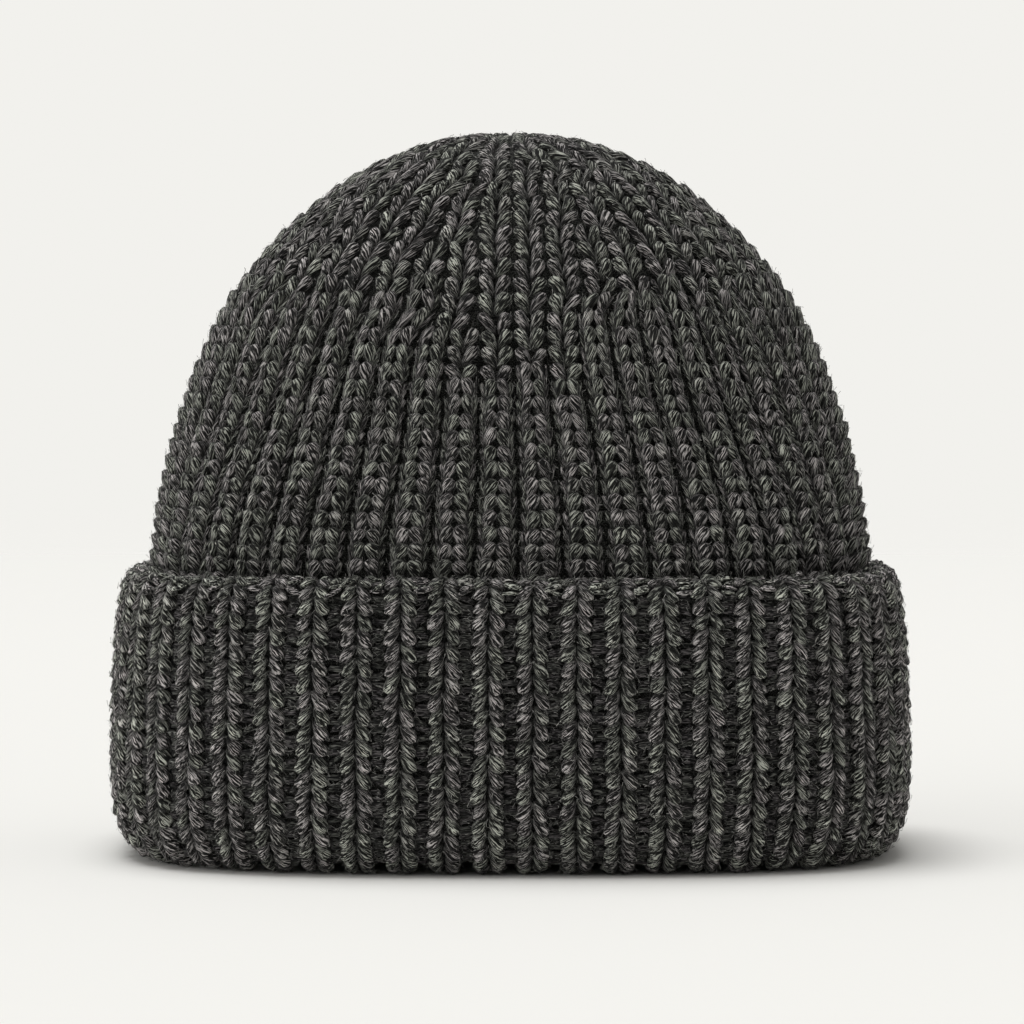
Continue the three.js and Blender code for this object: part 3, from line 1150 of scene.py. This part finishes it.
@dataclass(frozen=True)
class Fuzz:
    """Loose fibres that lie on and stand off the yarn. Lengths are in millimetres."""

    count: int = 44000
    shortest: float = 0.8
    longest: float = 2.4
    half_thickness: float = 0.075
    stray: float = 0.45  # how far they turn off the yarn's own way
    loose_share: float = 0.3  # of these stray five times as far
    lift: float = 0.05  # how far roots stand off
    arch: float = 0.15  # how much further some roots do
    rise: float = 0.2  # how far tips do
    colour: Colour = (0.24, 0.237, 0.225)
    roughness: float = 0.7
    tones: tuple[float, float] = (0.25, 2.3)  # the least, and how much more there is

    def grow(
        self, name: str, beads: list[tuple[YarnBead, np.ndarray]], random: np.random.Generator
    ) -> bpy.types.Object:
        """Makes the fibres of a piece.

        Args:
            name: name of the piece.
            beads: each bead with its copies' points, as (copies, vertices, 3).
            random: source of where they grow and how they lie.

        Returns:
            The piece, dressed.
        """
        total = sum(len(places) for _, places in beads)
        grown = [
            self._roots(bead, places, round(self.count * len(places) / total), random)
            for bead, places in beads
        ]
        root, out, way = (np.concatenate(part) for part in zip(*grown))
        number = len(root)
        loose = 1 + 4 * (random.uniform(size=(number, 1)) < self.loose_share)
        turned = self.stray * loose * random.normal(size=(number, 1))
        heading = unit(random.choice((-1, 1), size=(number, 1)) * way + turned * np.cross(way, out))
        long = random.uniform(self.shortest, self.longest, size=(number, 1)) * MM
        arch = random.uniform(0.0, self.arch, size=(number, 1)) * MM
        rise = np.abs(random.normal(size=(number, 1))) ** 1.5 * self.rise * MM
        hair = YarnBead(3, 1)
        part = hair.part[None, :, None]
        line = root[:, None] + (heading * long)[:, None] * (part - 0.35)
        line = line + out[:, None] * (self.lift * MM + arch[:, None] * part + rise[:, None] * (1 - part))
        across = np.cross(heading, out)[:, None] * np.cos(hair.turn)[None, :, None]
        over = out[:, None] * np.sin(hair.turn)[None, :, None]
        points = line + part * self.half_thickness * MM * (across + over)
        points[..., 2] = np.maximum(points[..., 2], HAIR_CLEARANCE)
        tones = random.uniform(0, 1, size=(number, 1, 3)) * np.ones((1, len(hair.part), 1))
        return hair.copy(points).build(name, {"stitch": tones.reshape(-1, 3)}, self._finish(name))

    @staticmethod
    def _roots(
        bead: YarnBead, places: np.ndarray, number: int, random: np.random.Generator
    ) -> tuple[np.ndarray, np.ndarray, np.ndarray]:
        """Where fibres grow on copies of a bead.

        Args:
            bead: the bead.
            places: its copies' points.
            number: how many fibres.
            random: source of the choice.

        Returns:
            The root of each, the way out of the yarn there and the way along it.
        """
        leg = random.integers(0, len(places), number)
        open_to_light = np.flatnonzero((np.sin(bead.turn) > -0.2) & (bead.part > 0.05) & (bead.part < 0.97))
        root = places[leg, random.choice(open_to_light, number)]
        way = unit(places[leg, np.argmax(bead.part)] - places[leg, np.argmin(bead.part)])
        off = root - places[leg].mean(axis=1)
        return root, unit(off - way * (off * way).sum(axis=1, keepdims=True)), way

    def _finish(self, name: str) -> bpy.types.Material:
        """The fibres' material, which reads the "stitch" attribute."""
        material = bpy.data.materials.new(f"{name}_fibre")
        sheet = Sheet(material)
        tone = sheet.attribute("stitch").part("Y")
        tone = sheet.brighten(self.colour, self.tones[0] + tone * tone * self.tones[1])
        sheet.end(
            sheet.node(
                "ShaderNodeBsdfPrincipled",
                Base_Color=tone,
                Roughness=self.roughness,
                Specular_IOR_Level=0.25,
            )
        )
        return material


def wall_yarn(points: np.ndarray) -> dict[str, np.ndarray]:
    """Attributes of a wall's yarn, which runs the way round."""
    flat = points.reshape(-1, 3)
    yarn = np.column_stack([flat[:, 2], flat[:, 0] + flat[:, 1], flat[:, 0] - flat[:, 1]]) / MM
    # The wall's openness is low: painted shade that darkens it as yarn deep in the knit.
    return {"yarn": yarn, "stitch": np.full((len(flat), 3), WALL_TONE_AND_SHADE)}


def ring_mesh(points: np.ndarray, loop: bool) -> MeshSheet:
    """Joins rings of points into a closed skin.

    Args:
        points: (rings, points a ring, 3).
        loop: whether the last ring joins the first. Otherwise each end closes at its middle.

    Returns:
        The mesh, with faces pointing out where rings run down the outside and up the inside.
    """
    rings, around = points.shape[:2]
    index = np.arange(rings * around).reshape(rings, around)
    low = index if loop else index[:-1]
    high = np.roll(index, -1, axis=0) if loop else index[1:]
    corners = np.stack([low, high, np.roll(high, -1, axis=1), np.roll(low, -1, axis=1)], axis=-1)
    sizes = np.full(corners.shape[0] * corners.shape[1], 4)
    flat, corners = points.reshape(-1, 3), corners.reshape(-1)
    if not loop:
        tips = np.stack([points[0].mean(axis=0), points[-1].mean(axis=0)])
        start, end = len(flat), len(flat) + 1
        first = np.stack([np.full(around, start), index[0], np.roll(index[0], -1)], axis=-1)
        last = np.stack([np.full(around, end), np.roll(index[-1], -1), index[-1]], axis=-1)
        corners = np.concatenate([corners, first.ravel(), last.ravel()])
        sizes = np.concatenate([sizes, np.full(2 * around, 3)])
        flat = np.concatenate([flat, tips])
    return MeshSheet(flat, corners, sizes)


def band_rings(heights: tuple[float, ...], further_in: float, shares: np.ndarray) -> np.ndarray:
    """Rings of the leaning faces between the cuff and the band behind it.

    Args:
        heights: height of each ring.
        further_in: how far inside the cuff's inner face they run.
        shares: shares of the way round.

    Returns:
        (rings, shares, 3) points.
    """
    rings = []
    for height in heights:
        lean = BAND_TAPER * max(0.0, height - BAND_FOOT) / (CUFF_HEIGHT - BAND_FOOT)
        inset = CUFF_WALL + lean + further_in
        ring = walk_round(CUFF_HALF_WIDTH - inset, CUFF_HALF_DEPTH - inset, CUFF_SQUARENESS, shares)
        rings.append(np.column_stack([ring, np.full(len(shares), height)]))
    return np.stack(rings)


@dataclass
class CuffKnit:
    """The turned-up cuff: its stitches, the purl bumps between its ribs and the wall under them."""

    surface: KnitSurface
    random: np.random.Generator
    material: bpy.types.Material
    # shade: the yarn with painted shade, for the purls and wall deep between the ribs.
    shade: bpy.types.Material  # of the yarn deep between the ribs
    bump: CrossBead = CrossBead(half_length=2.6, half_thickness=1.0, depth=-3.1, droop=0.9)
    bump_rows: tuple[float, float] = (11 * MM, 84 * MM)
    bar: CrossBead = CrossBead(half_length=2.2, half_thickness=0.68, depth=-0.9, droop=-0.3)
    bar_rows: tuple[float, ...] = (2.0 * MM, 3.6 * MM, 5.2 * MM, 6.8 * MM, 8.4 * MM, 9.9 * MM)
    wall_lift: tuple[float, float] = (-4.6 * MM, 2.0 * MM)  # at grooves, and what ribs add
    wall_fade: float = 8 * MM  # distance from each lip where it comes closer to the crests

    def stitches(self) -> Knitting:
        """The ribs' stitches from the lip to under the fold."""
        rows = np.arange(0.4 * CUFF_ROW, self.surface.length - 0.5 * CUFF_ROW, CUFF_ROW)
        grids = np.meshgrid(rows, np.arange(RIBS), (-1, 1), indexing="ij")
        along, rib, side = (grid.ravel() for grid in grids)
        places = LegPlaces(
            along=along,
            row_pitch=np.full(len(along), CUFF_ROW),
            side=side.astype(float),
            first_groove=rib % RIBS_IN_PANEL,
            last_groove=rib % RIBS_IN_PANEL + 1,
            panel=rib // RIBS_IN_PANEL,
            surface=self.surface,
            way=-1,
        )
        stitcher = Stitcher(self.surface, self.random, (CUFF_LIFT, CUFF_LIFT), Wander(self.random))
        return stitcher.lay(CUFF_LEG, YarnBead(7, 6), places)

    def wall(self) -> bpy.types.Object:
        """The dark wall under the stitches, a closed ring."""
        shares = np.arange(WALL_AROUND) / WALL_AROUND
        along, share = np.meshgrid(np.linspace(0, self.surface.length, 40), shares, indexing="ij")
        ridge = np.cos(math.pi * ((share * RIBS) % 1.0 - 0.5)) ** 2
        rest = self.surface.length - along
        fade = soft_step(0, self.wall_fade, along) * soft_step(0, self.wall_fade, rest)
        lift = (self.wall_lift[0] + self.wall_lift[1] * ridge) * (0.35 + 0.65 * fade)
        outer = self.surface.place(share, along, lift)
        outer[..., 2] = np.maximum(outer[..., 2], WALL_CLEARANCE)
        inner = band_rings((FOLD_THICKNESS, 30 * MM, 55 * MM, 72 * MM), 0.0, shares)
        points = np.concatenate([outer, inner])
        # Painted shade: the wall wears the shaded yarn.
        return ring_mesh(points, loop=True).build("cuff_wall", wall_yarn(points), self.shade)

    def build(self) -> list[bpy.types.Object]:
        """Makes the cuff's pieces.

        Returns:
            The pieces, dressed.
        """
        legs = self.stitches()
        stitches = legs.build("cuff_stitches", self.material)
        rows = np.arange(*self.bump_rows, CUFF_ROW / 2)
        bumps = self.bump.lay(self.surface, YarnBead(6, 3), rows, self.random)
        # Painted shade: the purl bumps wear the shaded yarn.
        purls = bumps.build("cuff_purls", self.shade)
        hairy = [bumps.places[::4], bumps.places[1::2]]
        beads = [(legs.bead, legs.places), *((bumps.bead, places) for places in hairy)]
        hairs = Fuzz().grow("cuff_fuzz", beads, self.random)
        edge = self.bar.lay(self.surface, YarnBead(8, 6), np.array(self.bar_rows), self.random)
        bars = edge.build("cuff_edge_bars", self.material)
        return [stitches, hairs, purls, bars, self.wall()]


@dataclass
class CrownKnit:
    """The crown: ribs of two stitch columns that narrow to one, and run together to the tip."""

    surface: KnitSurface
    random: np.random.Generator
    material: bpy.types.Material
    # shade: the crown's yarn with painted shade, for the wall behind the stitches and the hat's inside.
    shade: bpy.types.Material  # of the wall behind it
    foot_heights: tuple[float, ...] = (8.5 * MM, 40 * MM, 64 * MM)
    wall_lift: tuple[float, float] = (-4.8 * MM, 4.0 * MM)  # at grooves, and what ribs add
    rib_relief: float = 0.8 * MM  # how far the ribs stand into the hat
    even_from: tuple[float, float] = (0.45, 0.6)  # height shares where the wall's ribs run out
    full_girth: float = 0.3  # way round below which the wall grows thinner

    def rows(self) -> list[float]:
        """Places along the surface of the rows, from behind the cuff to the tip."""
        places = [1.0 * MM]
        while True:
            turn = float(soft_step(*CROWN_ROW_TURN, self.surface.rise_at(places[-1])))
            step = CROWN_ROW_LOW + (CROWN_ROW_HIGH - CROWN_ROW_LOW) * turn
            if places[-1] + step > self.surface.length - 1.5 * MM:
                return places
            places.append(places[-1] + step)

    def legs(self, low: bool) -> LegPlaces:
        """Places of the legs below or above where ribs narrow to one column.

        Args:
            low: whether they are the legs below.

        Returns:
            The places.
        """
        plan = RibPlan()
        rows = self.rows()
        entries = []
        for index, along in enumerate(rows):
            share = self.surface.rise_at(along)
            pitch = (rows[index + 1] if index + 1 < len(rows) else 2 * along - rows[index - 1]) - along
            for panel in range(PANELS):
                for first, last in plan.columns_at(float(plan.shifted(panel, share))):
                    rib = panel * RIBS_IN_PANEL + first
                    narrows = RIB_NARROWS if rib in FRONT_RIBS else RIB_NARROWS_FAR
                    narrows += RIB_NARROWS_STRAY * math.sin(2.4 * rib)
                    if (share < narrows) == low:
                        entries += [(along, pitch, side, first, last, panel) for side in (-1, 1)]
        table = np.array(entries)
        grooves = table[:, 3:].astype(int).T
        return LegPlaces(*table[:, :3].T, *grooves, surface=self.surface, way=1, plan=plan)

    def wall(self) -> bpy.types.Object:
        """The wall under the stitches, with the ribbed inside of the hat."""
        shares = np.arange(WALL_AROUND) / WALL_AROUND
        along, share = np.meshgrid(np.linspace(0, self.surface.length, 50), shares, indexing="ij")
        rise = np.clip(self.surface.rise_at(along), 0, 1)
        rib = ((2 * share - RibPlan.settled(share, rise)) * RIBS) % 1.0 - 0.5
        crest = np.cos(math.pi * rib) ** 2
        even = 1 - soft_step(*self.even_from, rise)
        ridge = crest * even + 0.6 * (1 - even)
        thin = np.clip(self.surface.perimeter_at(along) / self.full_girth, 0.25, 1)
        lift = (self.wall_lift[0] + self.wall_lift[1] * ridge**2) * thin
        outer = self.surface.place(share, along, lift)
        depth = (CROWN_WALL + self.rib_relief * crest) * np.clip(thin * 1.1, 0, 1)
        inner = self.surface.place(share, along, -depth)[:-6]
        foot = band_rings(self.foot_heights, LAYER_GAP, shares)
        inner_foot = band_rings(self.foot_heights, LAYER_GAP + CROWN_WALL, shares)
        mesh = ring_mesh(np.concatenate([outer[::-1], foot[::-1], inner_foot, inner]), loop=False)
        # Painted shade: the wall and the hat's inside wear the shaded yarn.
        return mesh.build("crown_wall", wall_yarn(mesh.points), self.shade)

    def build(self) -> list[bpy.types.Object]:
        """Makes the crown's pieces.

        Returns:
            The pieces, dressed.
        """
        stitcher = Stitcher(self.surface, self.random, CROWN_LIFT, Wander(self.random))
        pieces, beads = [], []
        for name, form, low, sides, rings in (
            ("crown_inner_legs", LOW_INNER_LEG, True, 8, 6),
            ("crown_outer_legs", LOW_OUTER_LEG, True, 6, 4),
            ("crown_upper_legs", HIGH_LEG, False, 8, 6),
        ):
            legs = stitcher.lay(form, YarnBead(sides, rings), self.legs(low))
            beads.append((legs.bead, legs.places))
            pieces.append(legs.build(name, self.material))
        wall = self.wall()
        return [*pieces, Fuzz().grow("crown_fuzz", beads, self.random), wall]


@dataclass(frozen=True)
class Sun:
    """A soft light from far away."""

    name: str
    place: tuple[float, float, float]
    spread: float  # in degrees
    power: float

    def make(self) -> None:
        """Puts the light in the scene."""
        data = bpy.data.lights.new(self.name, "SUN")
        data.angle = math.radians(self.spread)
        data.energy = self.power
        lamp = bpy.data.objects.new(self.name, data)
        lamp.location = self.place
        lamp.rotation_euler = (-Vector(self.place)).to_track_quat("-Z", "Y").to_euler()
        bpy.context.scene.collection.objects.link(lamp)


@dataclass(frozen=True)
class Studio:
    """The pale floor, the light and the camera."""

    distance: float = 1.344
    eye_height: float = 0.1385
    look_height: float = 0.0885
    aside: float = 0.0004
    seen_width: float = 0.2698  # of the picture, at the middle of the hat
    suns: tuple[Sun, ...] = (
        Sun("side", (-1.0, -0.6, 0.15), 60, 0.9),
        Sun("top", (-0.12, 0.1, 1.0), 38, 2.12),
    )
    wall: Colour = (0.887, 0.879, 0.846)
    right: Colour = (0.15, 0.1485, 0.1435)
    ceiling: Colour = (0.37, 0.365, 0.355)
    floor: Colour = (0.83, 0.825, 0.80)
    floor_radius: float = 4.0
    floor_fade: tuple[float, float] = (0.5, 2.4)  # distances where it melts into the surround

    def make_camera(self) -> None:
        """The camera at the photograph's angle."""
        data = bpy.data.cameras.new("camera")
        camera = bpy.data.objects.new("camera", data)
        bpy.context.scene.collection.objects.link(camera)
        place = Vector((self.aside, -self.distance, self.eye_height))
        camera.location = place
        aim = Vector((self.aside, 0, self.look_height)) - place
        camera.rotation_euler = aim.to_track_quat("-Z", "Y").to_euler()
        data.lens = data.sensor_width * self.distance / self.seen_width
        bpy.context.scene.camera = camera

    def make_light(self) -> None:
        """A surround that is pale but for a dim front right and ceiling, and the suns."""
        scene = bpy.context.scene
        scene.view_settings.view_transform = "Standard"
        world = bpy.data.worlds.new("surround")
        sheet = Sheet(world)
        way = sheet.wire(sheet.node("ShaderNodeTexCoord").outputs["Generated"])
        to_right = sheet.ramp(way.part("X") - way.part("Y") * 0.45, 0.3, 0.9)
        around = sheet.blend(to_right, self.wall, self.right)
        colour = sheet.blend(sheet.ramp(way.part("Z"), 0.1, 0.4), around, self.ceiling)
        ground = sheet.node("ShaderNodeBackground", Color=colour, Strength=1.0)
        sheet.end(ground, "ShaderNodeOutputWorld")
        scene.world = world
        for sun in self.suns:
            sun.make()

    def make_floor(self) -> bpy.types.Object:
        """A round pale floor that melts into the surround far from the hat."""
        bpy.ops.mesh.primitive_circle_add(vertices=96, radius=self.floor_radius, fill_type="NGON")
        floor = bpy.context.active_object
        floor.name = "floor"
        material = bpy.data.materials.new("pale_floor")
        sheet = Sheet(material)
        place = sheet.node("ShaderNodeTexCoord").outputs["Object"]
        far = sheet.node("ShaderNodeVectorMath", {"operation": "LENGTH"}, at_0=place)
        fade = sheet.ramp(sheet.wire(far.outputs["Value"]), *self.floor_fade)
        paint = sheet.node("ShaderNodeBsdfDiffuse", Color=self.floor)
        clear = sheet.node("ShaderNodeBsdfTransparent")
        sheet.end(sheet.node("ShaderNodeMixShader", at_0=fade, at_1=paint, at_2=clear))
        floor.data.materials.append(material)
        return floor


def main() -> None:
    """Builds the scene."""
    logging.basicConfig(level=logging.INFO, format="%(message)s")
    bpy.ops.object.select_all(action="DESELECT")
    random = np.random.default_rng(SEED)
    # The two shaded copies of the yarn paint shade on the walls and the cuff's purls.
    shade, crown_shade = SHADED_WOOL.make(), CROWN_SHADE_WOOL.make()
    crown = CrownKnit(crown_surface(), random, CROWN_WOOL.make(), crown_shade)
    cuff = CuffKnit(cuff_surface(), random, CUFF_WOOL.make(), shade)
    for kit, node, slot in ((crown, "crown", "crown_knit"), (cuff, "cuff", "cuff_knit")):
        for piece in kit.build():
            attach(piece, "root")
            if piece.name.endswith("_wall"):
                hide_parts(node)
            faces = sum(len(face.vertices) - 2 for face in piece.data.polygons)
            LOG.info("%s: %d triangles", piece.name, faces)
    studio = Studio()
    studio.make_camera()
    studio.make_light()
    studio.make_floor()


if __name__ == "__main__":
    main()
